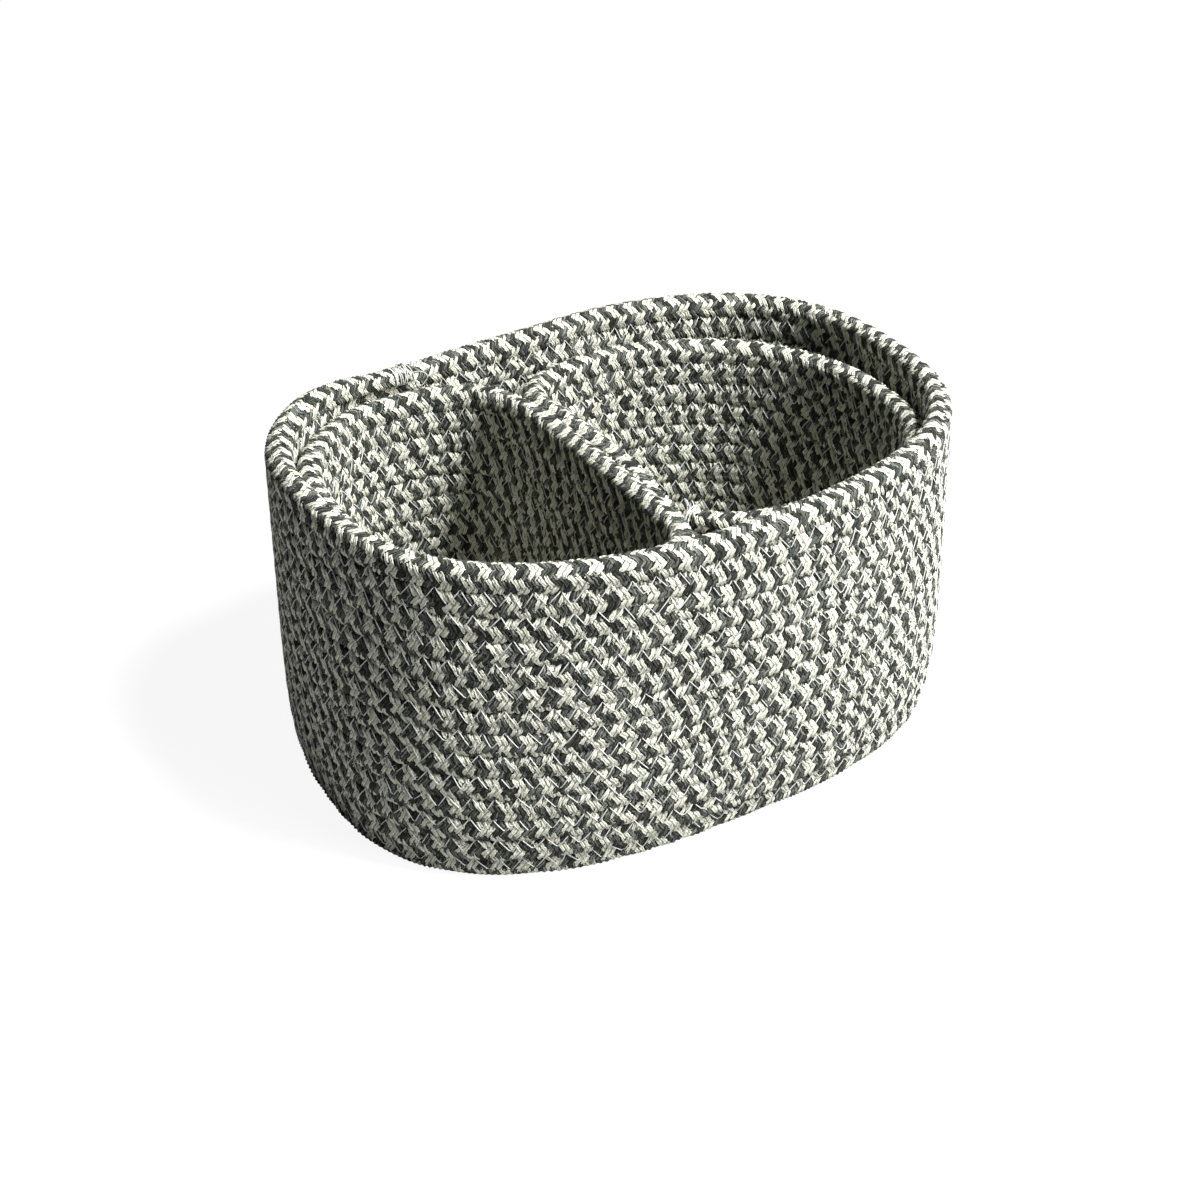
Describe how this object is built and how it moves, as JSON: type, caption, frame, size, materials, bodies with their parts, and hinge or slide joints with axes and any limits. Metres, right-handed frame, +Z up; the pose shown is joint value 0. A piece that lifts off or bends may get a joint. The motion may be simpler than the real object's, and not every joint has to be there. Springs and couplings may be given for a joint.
{
  "type": "knitting basket",
  "caption": "Oval basket of coiled braided cotton rope that holds two D-shaped lift-out cups side by side.",
  "frame": {"origin": "middle of the oval, on the underside of the floor", "axes": "+X along the oval towards the right cup, -Y towards the front, +Z up out of the mouth"},
  "size_m": [0.2828, 0.2051, 0.1401],
  "materials": {
    "cotton_rope": "matt braided cotton, charcoal and cream yarns, sewn with white zigzag thread"
  },
  "bodies": {
    "outer_basket": {"outer_floor_coil": "cotton_rope", "outer_wall_coil": "cotton_rope", "outer_rim_coil": "cotton_rope"},
    "left_cup": {"left_cup_floor_coil": "cotton_rope", "left_cup_wall_coil": "cotton_rope", "left_cup_rim_coil": "cotton_rope"},
    "right_cup": {"right_cup_floor_coil": "cotton_rope", "right_cup_wall_coil": "cotton_rope", "right_cup_rim_coil": "cotton_rope"}
  },
  "joints": [
    {"name": "left_cup_lift", "type": "slide", "parent": "outer_basket", "child": "left_cup", "axis": [0, 0, 1], "range_m": [0, 0.14]},
    {"name": "right_cup_lift", "type": "slide", "parent": "outer_basket", "child": "right_cup", "axis": [0, 0, 1], "range_m": [0, 0.14]}
  ]
}
